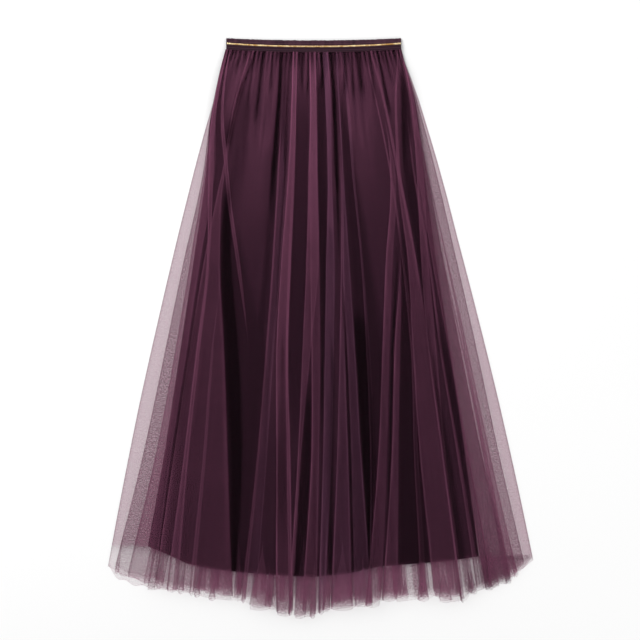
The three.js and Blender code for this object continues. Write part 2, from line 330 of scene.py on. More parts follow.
def tulle_material(name, hole_size):
    material = plain_material(name, PLUM, 0.7, 0.01)
    tree = material.node_tree
    shader = tree.nodes["Principled BSDF"]
    uv = add_node(tree, "ShaderNodeUVMap", uv_map="cloth")
    net = add_node(tree, "ShaderNodeGroup", node_tree=net_group)
    tree.links.new(uv.outputs["UV"], net.inputs["Cloth Place"])
    net.inputs["Hole Size"].default_value = hole_size
    shade = add_node(tree, "ShaderNodeGroup", node_tree=shade_group)
    shown = attribute_node(tree, "grain")
    threads = math_node(tree, "SUBTRACT", net.outputs["Threads"], MEAN_THREADS)
    threads = math_node(tree, "MULTIPLY", threads, shown)
    tree.links.new(math_node(tree, "ADD", threads, MEAN_THREADS), shade.inputs["Threads"])
    for label in ("Cover", "Lit", "Tint"):
        tree.links.new(attribute_node(tree, label.lower()), shade.inputs[label])
    tree.links.new(shade.outputs["Color"], shader.inputs["Base Color"])
    light_path = add_node(tree, "ShaderNodeLightPath")
    lighter = math_node(tree, "MULTIPLY", light_path.outputs["Is Shadow Ray"], 1 - SHADOW_SHARE)
    kept = math_node(tree, "SUBTRACT", 1, lighter)
    grain = add_node(tree, "ShaderNodeTexNoise", noise_dimensions="2D")
    grain.inputs["Scale"].default_value = 1 / GRAIN_SIZE
    grain.inputs["Detail"].default_value = 0
    tree.links.new(uv.outputs["UV"], grain.inputs["Vector"])
    speckle = math_node(tree, "MULTIPLY", math_node(tree, "SUBTRACT", grain.outputs["Fac"], 0.5), GRAIN)
    speckle = math_node(tree, "ADD", math_node(tree, "MULTIPLY", speckle, shown), 1)
    stopped = math_node(tree, "MULTIPLY", shade.outputs["Stopped"], speckle)
    alpha = math_node(tree, "MULTIPLY", stopped, kept, clamp=True)
    tree.links.new(alpha, shader.inputs["Alpha"])
    return material


outer_tulle = tulle_material("outer_tulle", 1.0 * MM)
inner_tulle = tulle_material("inner_tulle", 0.9 * MM)
print("materials:", outer_tulle.name, inner_tulle.name)

# %% [markdown]
# ## A folded sheet
#
# Tulle laid flat folds over itself in long pleats. Seen from above, a pleat is a strip with two
# more layers in it, so it looks denser. The real cloth goes to the pleat's right edge, turns back
# to its left edge, and turns again to go on: a Z on its side. The sheet below is one grid of
# points that follows this path in every row, so the folds have real round edges and the cloth is
# whole. A fold is given by how far across its two edges lie at seven stations down the skirt.

# %% Fold lines
STATIONS = (0.0, 0.0866, 0.21, 0.369, 0.528, 0.705, 0.899)
Fold = namedtuple("Fold", "name left right opening tint presence dense lit")


def curve(values, at):
    """A soft curve through the values at the stations, carried on straight past the last one."""
    stations = np.array(STATIONS)
    values = np.array(values, float)
    slopes = np.diff(values) / np.diff(stations)
    tangents = np.concatenate([[slopes[0]], (slopes[1:] + slopes[:-1]) / 2, [slopes[-1]]])
    at = np.asarray(at, float)
    inside = np.clip(at, stations[0], stations[-1])
    k = np.clip(np.searchsorted(stations, inside, side="right") - 1, 0, len(stations) - 2)
    step = stations[k + 1] - stations[k]
    t = (inside - stations[k]) / step
    h00 = (1 + 2 * t) * (1 - t) ** 2
    h10 = t * (1 - t) ** 2
    h01 = t * t * (3 - 2 * t)
    h11 = t * t * (t - 1)
    soft = h00 * values[k] + h10 * step * tangents[k] + h01 * values[k + 1] + h11 * step * tangents[k + 1]
    return soft + (at - inside) * tangents[-1]


def thousandths(values):
    """Places across are written in thousandths of the skirt's width."""
    return np.array(values) / 1000


def always(d):
    return np.ones_like(np.asarray(d, float))


def two_edged(name, edge, *looks):
    return Fold(name, lambda d: edge(d, -1), lambda d: edge(d, 1), *looks)


def fold(name, left, right, opening=2.0, tint=0.2, dense=1.5, lit=(1.0, 0.5), starts=None, fades=None):
    """A long fold. `lit` is how bright its two edges are. It may start late or fade out on its way."""
    left, right = thousandths(left), thousandths(right)

    def presence(d):
        value = always(d)
        if starts:
            value = value * smooth((d - starts[0]) / (starts[1] - starts[0]))
        if fades:
            value = value * (1 - smooth((d - fades[0]) / (fades[1] - fades[0])))
        return value

    def edge(d, sign):
        middle = (curve(left, d) + curve(right, d)) / 2
        return middle + sign * (curve(right, d) - curve(left, d)) / 2 * mix(0.1, 1, presence(d))

    return two_edged(name, edge, opening, tint, presence, dense, lit)


def flute(before, after, left, right, start, opening, tint):
    """A short fold that opens only towards the hem, at a fixed share of the gap it stands in."""
    gap_start, gap_end = float(before(0.97)), float(after(0.97))
    share = ((left + right) / 2 - gap_start) / (gap_end - gap_start)

    def presence(d):
        return smooth((d - start) / (0.99 - start))

    def edge(d, sign):
        return mix(before(d), after(d), share) + sign * (right - left) / 2 * presence(d)

    return two_edged("flute", edge, opening, tint, presence, 1.1, (0.5, 0.5))


# %% [markdown]
# Troughs are the dark places between the folds, where the net sinks towards the lining and little
# light gets in. Crests are the bright ones, where the gathered net swells.
# Each has a left and a right edge at the seven stations, the picture rows where it starts and ends,
# a softness and a depth. Edges and softness are in thousandths of the skirt's width. Their value
# lowers or raises the net, thins or thickens it, and darkens or brightens its threads with painted
# shade in the troughs and painted light on the crests.

# %% Troughs and crests
Mark = namedtuple("Mark", "left right start end soft depth")
FINE_DOWN = np.linspace(0, 1.02, 300)
SEAM_PIXEL, LENGTH_PIXELS = 51, 566


def photo_row(y):
    """The share down of a picture row, as the marks were read from the picture."""
    return (y - SEAM_PIXEL) / LENGTH_PIXELS


def mark(left, right, start, end, soft=12, depth=1.0):
    left, right = curve(thousandths(left), FINE_DOWN), curve(thousandths(right), FINE_DOWN)
    return Mark(left, right, photo_row(start), photo_row(end), soft / 1000, depth)


TROUGHS = [mark(*row) for row in (
    ((100, 110, 135, 172, 222, 262, 288), (110, 120, 155, 210, 265, 298, 306), 180, 640, 14),
    ((100, 110, 135, 200, 250, 280, 300), (110, 120, 170, 250, 335, 334, 330), 230, 640, 30, 0.38),
    ((310, 314, 316, 320, 300, 280, 290), (328, 333, 338, 341, 339, 334, 326), 54, 230, 9, 0.9),
    ((300, 300, 300, 318, 300, 280, 290), (330, 333, 338, 336, 333, 329, 320), 210, 640, 12, 0.4),
    ((375, 375, 370, 363, 360, 360, 360), (385, 380, 378, 370, 366, 366, 366), 120, 330, 4, 0.7),
    ((410, 410, 414, 410, 410, 424, 434), (465, 466, 466, 462, 450, 440, 436), 90, 440, 14, 0.32),
    ((510, 510, 508, 507, 504, 498, 490), (545, 548, 547, 530, 518, 508, 500), 70, 440, 10, 0.58),
    ((810, 810, 810, 767, 716, 682, 652), (815, 815, 815, 776, 724, 689, 660), 250, 520, 5, 0.8),
    ((587, 583, 578, 570, 560, 560, 560), (602, 600, 590, 576, 570, 570, 570), 52, 260, 6, 0.9),
    ((609, 610, 612, 610, 609, 610, 614), (620, 640, 660, 680, 690, 655, 620), 80, 640, 30, 0.5),
    ((609, 610, 612, 610, 609, 610, 612), (620, 625, 630, 645, 650, 646, 620), 300, 640, 8, 1.0),
    ((800, 800, 800, 785, 742, 707, 684), (810, 810, 815, 808, 779, 762, 757), 220, 640, 12, 0.6),
    ((988, 922, 858, 830, 820, 810, 800), (996, 960, 892, 850, 830, 820, 810), 62, 200, 10, 0.85),
    ((985, 912, 860, 843, 830, 825, 824), (993, 950, 905, 862, 840, 835, 834), 150, 330, 12, 0.6),
    ((866, 866, 866, 866, 866, 868, 870), (887, 887, 887, 887, 886, 884, 880), 320, 640, 8, 0.5),
    ((820, 820, 820, 840, 828, 824, 824), (830, 830, 830, 845, 838, 840, 842), 300, 640, 6, 0.6),
    ((117, 117, 117, 116, 116, 116, 116), (121, 121, 121, 121, 121, 121, 121), 290, 470, 3, 0.8),
    ((130, 140, 165, 190, 220, 220, 220), (190, 200, 210, 225, 240, 240, 240), 90, 200, 30, 0.35),
    ((0, 25, 85, 150, 200, 200, 200), (10, 55, 115, 170, 210, 210, 210), 88, 190, 16, 0.25),
    ((385, 385, 385, 385, 387, 389, 394), (390, 390, 390, 390, 400, 408, 420), 330, 540, 5, 0.45),
    ((450, 450, 450, 450, 462, 452, 440), (470, 470, 470, 470, 475, 475, 462), 380, 640, 6, 0.7),
    ((520, 520, 520, 520, 535, 525, 515), (530, 530, 530, 530, 542, 535, 528), 330, 640, 5, 0.7),
    ((575, 575, 575, 576, 576, 574, 572), (580, 580, 580, 582, 583, 582, 580), 280, 640, 4, 0.6),
)]
CRESTS = [mark(*row) for row in (
    ((130, 150, 190, 220, 260, 280, 280), (290, 295, 300, 300, 300, 300, 300), 120, 240, 50, 0.8),
    ((640, 640, 650, 660, 670, 680, 680), (800, 780, 740, 700, 690, 690, 690), 90, 210, 40, 0.6),
    ((380, 380, 375, 370, 360, 360, 360), (408, 408, 408, 408, 410, 420, 430), 60, 440, 8, 0.9),
    ((0, 0, 45, 70, 82, 90, 90), (20, 35, 80, 105, 116, 115, 112), 56, 600, 8, 0.9),
    ((90, 90, 100, 122, 134, 142, 142), (100, 100, 110, 138, 155, 165, 168), 230, 640, 10, 0.6),
    ((470, 473, 473, 465, 455, 450, 450), (505, 505, 505, 500, 480, 480, 480), 60, 260, 10, 0.9),
)]


def mark_value(marks, u, down):
    """How much of the marks is felt at each place, from 0 to about 1."""
    value = np.zeros(np.broadcast(u, down).shape)
    for m in marks:
        left, right = np.interp(down, FINE_DOWN, m.left), np.interp(down, FINE_DOWN, m.right)
        inside = smooth((u - left) / m.soft + 0.5) * smooth((right - u) / m.soft + 0.5)
        along = smooth((down - m.start) / 0.08 + 0.3) * smooth((m.end - down) / 0.15 + 0.3)
        value = np.maximum(value, m.depth * inside * along)
    return value


# %% [markdown]
# Below the waistband the gathered net also lies in short creases that fan out. Each is a line
# through five picture rows, with a width, a strength and the row where it ends. The bright ones,
# where a fold of net stands up, have a strength above 0 and the dark ones below it. They join the
# crests and troughs, so their brightness and darkness are partly painted light and shade. Places and
# widths are in thousandths of the skirt's width again.

# %% Creases below the waistband
Crease = namedtuple("Crease", "path width strength end")
CREASE_ROWS = (54, 70, 90, 120, 170)
CREASE_WIDTH = 1.15


def crease(path, width, strength, end):
    places = np.interp(FINE_DOWN, [photo_row(y) for y in CREASE_ROWS], thousandths(path))
    return Crease(places, width / 1000, strength, photo_row(end))


CREASES = [crease(*row) for row in (
    ((40, 0, -20, -20, -20), 6, 0.7, 66), ((75, 40, 30, 30, 30), 9, 0.6, 74),
    ((100, 50, 40, 40, 40), 8, 0.6, 78), ((60, 30, 20, 20, 20), 8, -0.6, 66),
    ((118, 107, 100, 90, 90), 10, 0.7, 110), ((88, 90, 90, 90, 90), 6, -0.7, 74),
    ((150, 124, 107, 104, 120), 12, 0.9, 125), ((168, 150, 127, 117, 125), 12, -0.9, 150),
    ((180, 184, 186, 200, 220), 8, 0.9, 145), ((160, 157, 155, 157, 185), 8, 0.4, 190),
    ((170, 168, 170, 173, 180), 5, -0.4, 110), ((212, 216, 219, 222, 230), 7, -0.8, 122),
    ((230, 236, 245, 252, 260), 6, 1.0, 150), ((252, 256, 262, 277, 285), 8, 0.6, 160),
    ((266, 272, 278, 282, 285), 7, -0.7, 92), ((290, 293, 296, 296, 296), 9, 0.9, 150),
    ((305, 314, 320, 323, 326), 6, -1.0, 170), ((335, 342, 347, 350, 352), 5, -0.4, 150),
    ((359.5, 361, 362, 364, 368), 5, -0.5, 170), ((385, 384, 383, 381, 378), 4, 1.0, 230),
    ((400, 398, 396, 395, 395), 6, 0.8, 200), ((430, 431, 433, 435, 437), 7, -0.9, 90),
    ((443, 443, 445, 447, 450), 6, 0.5, 90), ((470, 467, 460, 455, 455), 4, -1.0, 96),
    ((480, 475, 473, 475, 474), 4, 1.0, 240), ((500, 498, 492, 494, 495), 8, 0.7, 180),
    ((507, 507, 500, 500, 500), 4, 0.7, 180), ((525, 526, 527, 527, 527), 6, 0.7, 78),
    ((540, 537, 530, 530, 530), 6, -1.0, 90), ((572, 568, 560, 552, 550), 8, 1.2, 230),
    ((580, 577, 575, 574, 572), 4, 0.7, 200), ((553, 549, 543, 540, 540), 5, -0.6, 90),
    ((596, 592, 588, 584, 582), 8, -0.9, 190), ((657, 642, 625, 611, 601), 5, 0.9, 200),
    ((670, 660, 648, 640, 640), 8, -0.7, 96), ((692, 684, 668, 657, 650), 6, 1.0, 140),
    ((703, 698, 690, 685, 680), 8, -0.7, 100), ((722, 711, 704, 700, 700), 6, 0.9, 150),
    ((750, 737, 730, 725, 720), 10, -0.9, 96), ((770, 767, 760, 735, 700), 8, 0.5, 140),
    ((790, 783, 775, 755, 720), 6, 0.5, 120), ((800, 797, 790, 785, 780), 7, -0.7, 100),
    ((812, 818, 824, 832, 834), 6, 0.9, 290), ((858, 855, 850, 847, 845), 8, -0.9, 116),
    ((875, 880, 879, 872, 870), 10, 0.8, 108), ((900, 895, 892, 890, 890), 7, -0.8, 86),
    ((1030, 995, 965, 930, 880), 9, 0.9, 170), ((990, 990, 990, 990, 990), 14, -0.8, 64),
    ((990, 955, 909, 877, 838), 5, 0.8, 200),
)]


def crease_value(u, down):
    """Bright creases above 0 and dark ones below, added up."""
    total = np.zeros(np.broadcast(u, down).shape)
    for c in CREASES:
        middle = np.interp(down, FINE_DOWN, c.path)
        across = (u - middle) / (CREASE_WIDTH * c.width)
        total = total + c.strength * np.exp(-across ** 2) * smooth((c.end - down) / 0.03 + 0.3)
    return np.clip(total, -1, 1)


# %% [markdown]
# The net is gathered into the waistband in about forty small pinches. Each is a ridge that is sharp
# at the seam and dies out a few centimetres below, some sooner than others.

# %% Gathers
PINCHES = 41
random_pinches = np.random.default_rng(5)
pinch_across = (np.arange(PINCHES) + 0.5) / PINCHES + random_pinches.uniform(-0.005, 0.005, PINCHES)
pinch_reach = random_pinches.uniform(0.03, 0.08, PINCHES)
pinch_height = random_pinches.uniform(0.75, 1.0, PINCHES)


def gathers(u, down):
    """Height of the pinches, from 0 in the grooves to 1 on the ridges, and how much they are felt, as
    painted shade in the grooves.
    """
    u, down = np.broadcast_arrays(u, down)
    spread = 0.0062 + 0.05 * down[..., None]
    ridges = np.exp(-((u[..., None] - pinch_across) / spread) ** 2)
    ridges = ridges * pinch_height * np.exp(-(down[..., None] / pinch_reach) ** 1.6)
    return np.clip(ridges.sum(-1), 0, 1), np.exp(-(down / 0.026) ** 2)


def streaks(u, down, offset):
    """Fine lengthwise streaks of the gathered net, from about -1 to 1."""
    total = 0
    for k, waves_across in enumerate((31, 53, 83, 127, 181)):
        phase = offset + 2.1 * k + 1.7 * math.sin(k + offset) * down
        total = total + np.sin(2 * math.pi * waves_across * u + phase * 3) / (1 + 0.25 * k)
    return total / 2.2


# %% The sheet builder
EDGE = 4  # points round a fold's edge
PLY = (0.1, 0.5, 0.9)  # points across a hidden ply
ROWS = 116
DESCENT = 8 * MM  # a ply comes down from a fold over this distance
RIDGE_WIDTH = 1.1 * MM
RIM_WIDTH = 0.8 * MM  # the darker lines along the side folds
INSIDE_GRAIN, SIDE_GRAIN, OUTER_GRAIN = 0.1, 0.8, 0.3  # over the lining, beside it, in the outer strip
HEM_ROW = 0.0016  # the last row's share of the length: a raw edge with loose threads
Column = namedtuple("Column", "across level shift item before short bulge")


def row_shares(rows):
    """Rows lie closer together near the waist and the hem."""
    t = np.linspace(0, 1, rows - 1)
    shares = mix(t, 0.5 - 0.5 * np.cos(np.pi * t), 0.45)
    return np.append(shares[:-1], [1 - HEM_ROW, 1])


# How far down, the skirt's width there in metres, and the spacing of columns in millimetres.
SPACING = ((0.0, 0.285, 1.1), (0.1, 0.37, 2.0), (0.3, 0.47, 2.6), (0.6, 0.59, 2.6), (0.93, 0.68, 2.6))


def columns_needed(start, end, step):
    """Enough columns for the widest part of a gap."""
    counts = [float(end(d) - start(d)) * width / (spacing * MM) for d, width, spacing in SPACING]
    return max(counts) * 2.6 * MM / step


def gap_columns(columns, start, end, before, style, last=False):
    hem_gap = max(float(end(0.93) - start(0.93)) * 0.68, 0)
    steps = max(4, int(columns_needed(start, end, style["step"])))
    swell = style["gap_bulge"] * min(1.0, hem_gap / (18 * MM))
    shares = (np.arange(steps) + 0.5) / steps
    if before is None:
        shares = np.concatenate([[0, 0.3 / steps], shares])
    if last:
        shares = np.concatenate([shares, [1 - 0.3 / steps, 1]])
    for t in shares:
        columns.append(Column(lambda d, t=t: mix(start(d), end(d), t), 0, 0, None, before, 0,
                              math.sin(math.pi * t) ** 2 * swell))


def ply_columns(start, end, level, shares, short, item, before):
    """One ply of a fold, from its one edge to the other."""
    return [Column(lambda d, t=t: mix(start(d), end(d), t), level, 0, item, before, short(t), 0)
            for t in shares]


def turn_columns(edge, level, way, short, item, before):
    """The round edge where the cloth turns back; `way` is 1 at a right edge and -1 at a left one."""
    turns = [math.pi * (k + 0.5) / EDGE - math.pi / 2 for k in range(EDGE)]
    return [Column(edge, level + math.sin(turn), way * math.cos(turn), item, before, short, 0)
            for turn in turns]


def sheet_path(folds, style):
    """Columns of the sheet, from left to right along the cloth."""
    columns = []
    start, before = style["left"], None
    for item in folds:
        left, right = item.left, item.right
        gap_columns(columns, start, left, before, style)
        inner_points = max(3, int(columns_needed(left, right, style["step"])))
        top_shares = np.concatenate([[0.02, 0.08], np.linspace(0.16, 0.84, inner_points), [0.92, 0.98]])
        columns += ply_columns(left, right, 0, PLY, lambda t: 0.8 * t, item, before)
        columns += turn_columns(right, 1, 1, 0.9, item, before)
        columns += ply_columns(right, left, 2, PLY, lambda t: 1.0, item, before)
        columns += turn_columns(left, 3, -1, 0.6, item, before)
        columns += ply_columns(left, right, 4, top_shares, lambda t: 0.3 * (1 - t), item, before)
        start, before = right, item
    gap_columns(columns, start, style["right"], before, style, last=True)
    return columns


def fold_radius(item, down, style):
    if item is None:
        return np.zeros_like(down)
    opened = smooth((down - style["opens_at"]) / (1 - style["opens_at"])) ** 1.5
    return mix(style["radius"], item.opening * style["open_share"] * MM, opened) * item.presence(down)


def ridge_light(item, x, down):
    """Bright lines along a fold's two edges, where the net is seen along its threads; over the lining also a
    painted highlight.
    """
    left = np.exp(-((x - place_x(item.left(down), down)) / RIDGE_WIDTH) ** 2)
    right = np.exp(-((x - place_x(item.right(down), down)) / RIDGE_WIDTH) ** 2)
    return (left * item.lit[0] + right * item.lit[1]) * item.presence(down)


def build_sheet(name, folds, style, material):
    columns = sheet_path(folds, style)
    shares = row_shares(ROWS)
    points = np.zeros((ROWS, len(columns), 3))
    cover, tint, lit, grain = (np.zeros((ROWS, len(columns))) for _ in range(4))
    for c, (across, level, shift, item, before, short, bulge) in enumerate(columns):
        hem_place = float(across(0.95))
        if level == 4:
            middle = float(item.left(0.95) + item.right(0.95)) / 2
            arc = abs(hem_place - middle) / (item.right(0.95) - item.left(0.95)) * 2
            lift = style["hem"](middle) + style["arc"] * arc ** 2
        else:
            lift = style["hem"](hem_place) + short * style["short"] + (style["tuck"] if item is None else 0)
        hem = down_at(lift)
        down = shares * hem
        u = across(down)
        radius = fold_radius(item, down, style)
        x = place_x(u, down) + shift * radius
        trough = mark_value(TROUGHS, u, down)
        crest = mark_value(CRESTS, u, down)
        pinch, groove_shade_reach = gathers(u, down)
        wrinkle = crease_value(u, down)
        trough = np.clip(trough - wrinkle * (wrinkle < 0), 0, 1)
        crest = np.clip(crest + wrinkle * (wrinkle > 0), 0, 1.3)
        base = style["base"](u, down)
        if before is not None:
            past = (x - place_x(before.right(down), down)) / DESCENT
            base = base + 4 * fold_radius(before, down, style) * np.exp(-np.maximum(past, 0) ** 1.4)
        base = mix(style["at_seam"], base, smooth(down / 0.05))
        z = base + level * radius + bulge * smooth((down - 0.3) / 0.7) ** 2
        z = z + style["relief"] * (1.6 * pinch - 0.9 * trough + 0.8 * crest) * over_lining(u, down)
        points[:, c] = np.stack([x, place_y(u, down), z], axis=1)
        free = beside_lining(u, down)
        inside = over_lining(u, down) * (1 - free)
        from_hem = (hem - down) * SKIRT_LENGTH
        stopped, light = style["look"](u, down, from_hem)
        fine = streaks(u, down, style["seed"])
        stopped = stopped * (1 - 0.5 * trough * inside) * (1 + 0.45 * crest * inside + 0.6 * pinch * inside)
        slit = slit_value(u) * smooth((down - 0.85) / 0.03) * free
        stopped = stopped * (1 + 0.2 * fine * inside) * (1 - 0.5 * slit)
        # Painted shade in the troughs and in the grooves between the pinches below the seam, and a painted
        # highlight on the crests and the pinch ridges.
        light = light * (1 - 0.85 * trough * inside) * (1 - 0.97 * groove_shade_reach * (1 - pinch))
        light = light * (1 + 0.1 * fine * inside) + (0.15 * crest + 0.3 * pinch) * inside
        tint[:, c] = 0.25
        if item is not None:
            ridge = ridge_light(item, x, down)
            dense = item.dense * mix(1, 0.75, smooth((down - 0.3) / 0.5))
            stopped = stopped * mix(1, dense, item.presence(down) * inside)
            stopped = stopped + mix(0.45, 0.36, inside) * ridge * style["edge_cover"]
            light = mix(light + 0.22 * ridge * inside, 0.9, np.clip(ridge * free, 0, 1))
            tint[:, c] = item.tint
        left_side = place_x(style["left"](down), down)
        right_side = place_x(style["right"](down), down)
        rim = np.exp(-np.minimum(x - left_side, right_side - x) / RIM_WIDTH)
        stopped = stopped + 0.3 * rim
        light = mix(light, 1.0, 0.8 * rim)
        stopped[-1] += 0.15
        cover[:, c] = np.clip(stopped, 0, 0.92)
        grain[:, c] = mix(INSIDE_GRAIN, mix(SIDE_GRAIN, OUTER_GRAIN, outside_inner(u, down)), free)
        lit[:, c] = light
    return grid_object(name, points, {"cover": cover, "tint": tint, "lit": lit, "grain": grain}, material)


# %% [markdown]
# The grid becomes a mesh with a UV map in metres of cloth, so that the net keeps its size round
# every fold. The UV runs along the cloth at the hem, and the waist, where the same cloth is
# gathered into less room, then shows a tighter net, as it should.

# %% Grid to mesh
def grid_object(name, points, values, material):
    rows, count = points.shape[:2]
    mesh = bpy.data.meshes.new(name)
    index = np.arange(rows * count).reshape(rows, count)
    corners = [index[:-1, :-1], index[1:, :-1], index[1:, 1:], index[:-1, 1:]]
    quads = np.stack(corners, axis=-1).reshape(-1, 4)
    mesh.vertices.add(rows * count)
    mesh.vertices.foreach_set("co", points.reshape(-1))
    mesh.loops.add(quads.size)
    mesh.loops.foreach_set("vertex_index", quads.reshape(-1))
    mesh.polygons.add(len(quads))
    mesh.polygons.foreach_set("loop_start", np.arange(0, quads.size, 4))
    mesh.polygons.foreach_set("use_smooth", np.ones(len(quads), bool))
    mesh.update(calc_edges=True)
    mesh.validate()
    steps = np.linalg.norm(np.diff(points[-8], axis=0), axis=1)
    along = np.concatenate([[0], np.cumsum(steps)])
    uv = np.zeros((rows, count, 2))
    uv[:, :, 0] = along
    uv[:, :, 1] = points[:, :, 1]
    layer = mesh.uv_layers.new(name="cloth")
    layer.data.foreach_set("uv", uv.reshape(-1, 2)[quads.reshape(-1)].reshape(-1))
    for label, numbers in values.items():
        attribute = mesh.attributes.new(label, "FLOAT", "POINT")
        attribute.data.foreach_set("value", numbers.reshape(-1))
    mesh.materials.append(material)
    print(f"{name}: {len(quads)} quads, hem {along[-1]:.2f} m of cloth")
    return add_object(name, mesh)


# %% [markdown]
# ## Hems, edges and heights
#
# The raw hems are uneven lines. Each is a short list of points: how far across, and how many
# millimetres the hem lies above the longest point. The base heights say where each layer lies: over
# the lining they are stacked, and at the side folds they come down to the floor.

# %% Hem lines
FRONT_HEM = ((-0.02, 80), (0.0, 78), (0.03, 67), (0.075, 58), (0.12, 50), (0.166, 42), (0.2, 38), (0.25, 29),
             (0.29, 26), (0.33, 25), (0.36, 14), (0.39, 12), (0.41, 4), (0.428, 4), (0.437, 9), (0.45, 0),
             (0.485, 0), (0.495, 7), (0.52, 8), (0.53, 13), (0.565, 14), (0.59, 20), (0.62, 19), (0.65, 30),
             (0.68, 24), (0.745, 29), (0.76, 34), (0.79, 24), (0.83, 26), (0.845, 38), (0.9, 49), (0.95, 63),
             (0.97, 72), (1.0, 88), (1.02, 90))
BACK_HEM = ((-0.02, 81), (0.0, 80), (0.03, 60), (0.075, 50), (0.12, 44), (0.2, 41), (0.3, 36), (0.4, 26),
            (0.5, 22), (0.6, 29), (0.7, 34), (0.8, 36), (0.87, 41), (0.93, 53), (0.96, 70), (1.0, 94),
            (1.02, 97))


def hem_line(pairs, extra=0.0, ripple=0.0, waves=0):
    across = np.array([p[0] for p in pairs])
    lift = np.array([p[1] for p in pairs]) * MM

    def line(u):
        return np.interp(u, across, lift) + extra * MM + ripple * MM * np.sin(waves * u * 2 * math.pi + 1.3)

    return line


def lining_left(d):
    return curve((0.0, 0.002, 0.054, 0.077, 0.088, 0.092, 0.086), d)


def lining_right(d):
    return curve((0.999, 0.985, 0.945, 0.912, 0.897, 0.884, 0.876), d)


def over_lining(u, down):
    """How fully a net is held up by the lining: 0 at the side folds, 1 well inside, less below the hem."""
    from_left = smooth((u - lining_left(down) + 0.025) / (0.025 + 0.02 * down))
    from_right = smooth((lining_right(down) - u + 0.025) / (0.025 + 0.02 * down))
    return np.minimum(from_left, from_right) * smooth((1.0 - down) / 0.07 + 0.4)


def front_base(rim, low, high, at_hem):
    """Heights: at the side folds, just inside them, over the lining and over the lining's hem."""
    def base(u, down):
        low_here = mix(rim, low, smooth((u - 0.01) / 0.04) * smooth((0.99 - u) / 0.04))
        return mix(low_here, mix(high, at_hem, smooth((down - 0.6) / 0.4)), over_lining(u, down))

    return base


def flat_base(height):
    def base(u, down):
        return np.full(np.broadcast(u, down).shape, height)

    return base


# %% [markdown]
# Over the lining the net is thin and dark. Beside it and below it the pale floor shines through, so
# there `lit` goes up to 2 in the outer strip, and less where more layers lie on each other.

# %% How the net looks at each place
def inner_left(d):
    return curve((0.0, 0.005, 0.042, 0.043, 0.0425, 0.037, 0.018), d)


def inner_right(d):
    return curve((0.995, 0.992, 0.987, 0.98, 0.975, 0.972, 0.979), d)


LINING_HEM = ((0.0, 114), (0.06, 102), (0.13, 86), (0.2, 78), (0.3, 72), (0.4, 68), (0.5, 65), (0.6, 70),
              (0.7, 82), (0.8, 86), (0.9, 90), (1.0, 98))


def lining_hem_at(u):
    t = (u - lining_left(0.9)) / (lining_right(0.9) - lining_left(0.9))
    return down_at(np.interp(t, [p[0] for p in LINING_HEM], [p[1] for p in LINING_HEM]) * MM)


def beside_lining(u, down):
    """1 where the lining doesn't lie under the net."""
    left = smooth((lining_left(down) - u) / 0.004 + 0.7)
    right = smooth((u - lining_right(down)) / 0.004 + 0.7)
    below = smooth((down - lining_hem_at(u)) / 0.003 + 0.9)
    return np.maximum(np.maximum(left, right), below)


def outside_inner(u, down):
    return np.maximum(smooth((inner_left(down) - u) / 0.004), smooth((u - inner_right(down)) / 0.004))


SLITS = ((0.15, 0.157), (0.1755, 0.179), (0.2, 0.206), (0.296, 0.307), (0.328, 0.343), (0.431, 0.443),
         (0.4865, 0.4905), (0.616, 0.628), (0.7, 0.715), (0.746, 0.759), (0.822, 0.833), (0.852, 0.872))


def slit_value(u):
    """1 in the slits between the flutes of the hem, where hardly any net lies."""
    value = np.zeros(np.shape(u))
    for left, right in SLITS:
        value = np.maximum(value, smooth((u - left) / 0.003 + 0.5) * smooth((right - u) / 0.003 + 0.5))
    return value


def third_right(d):
    """Where the densest strip beside the lining ends, on the right."""
    return curve((0.99, 0.985, 0.965, 0.943, 0.931, 0.932, 0.945), d)


RIGHT_STRIP_MORE = 0.14  # the outer strip on the right stops this much more
LEFT_LESS, RIGHT_LESS = 0.55, 0.2  # below the lining the net stops less, at the left and at the right
LINING_EDGE_MORE = 0.55  # right below the lining's hem it stops more
LINING_EDGE = 0.01  # share of the length over which that wears off


def look(at_waist, over, below, beside, outside, at_hem, rim, lit_beside):
    """cover and lit for a net with these covers per ply in its kinds of places."""
    def parts(u, down, from_hem):
        body = mix(over, below, smooth((down - 0.2) / 0.6))
        body = body + (at_waist - over) * np.exp(-(down / 0.2) ** 1.5)
        outer_strip = outside_inner(u, down)
        side = mix(beside, outside * (1 + RIGHT_STRIP_MORE * (u > 0.5)), outer_strip)
        side = mix(side, at_hem, smooth((down - 0.88) / 0.05) * (1 - outer_strip))
        below_lining = np.clip(down - lining_hem_at(u), 0, 1)
        at_left = smooth((0.32 - u) / 0.2) * (below_lining > 0)
        near_lining = np.exp(-below_lining / LINING_EDGE) * (below_lining > 0)
        at_right = smooth((u - 0.66) / 0.1) * smooth((0.9 - u) / 0.05) * (below_lining > 0)
        side = side * (1 - LEFT_LESS * at_left) * (1 - RIGHT_LESS * at_right)
        side = side * (1 + LINING_EDGE_MORE * near_lining)
        third_strip = smooth((third_right(down) - u) / 0.008) * smooth((u - 0.8) / 0.05)
        side = side * mix(0.97, 1.25, third_strip)
        at_rim = smooth(1.3 - from_hem / (4 * MM))
        side = mix(side, rim, at_rim)
        free = beside_lining(u, down)
        through = mix(lit_beside, 2.0, np.maximum(outer_strip, at_rim))
        # Less painted light from the floor shows through right below the lining's hem and in the densest
        # strip: darker there.
        through = mix(through, 0.95, np.maximum(0.9 * near_lining, 0.8 * third_strip))
        return mix(body, side, free), mix(1.0, through, free)

    return parts


# %% [markdown]
# ## The outer net, front
#
# Its largest folds fan out from the ends of the waistband, because the cloth hangs from the corners
# there, and a few run straight down the middle. Short flutes open at the hem between them.

# %% Outer front folds
def with_flutes(folds, flutes, style):
    """Puts the short hem flutes into the gaps between the long folds they belong to."""
    result = []
    start = style["left"]
    for item in folds + [None]:
        end = item.left if item else style["right"]
        inside = [f for f in flutes if start(0.97) <= (f[0] + f[1]) / 2 < end(0.97)]
        result += [flute(start, end, *f) for f in inside]
        if item:
            result.append(item)
            start = item.right
    return result


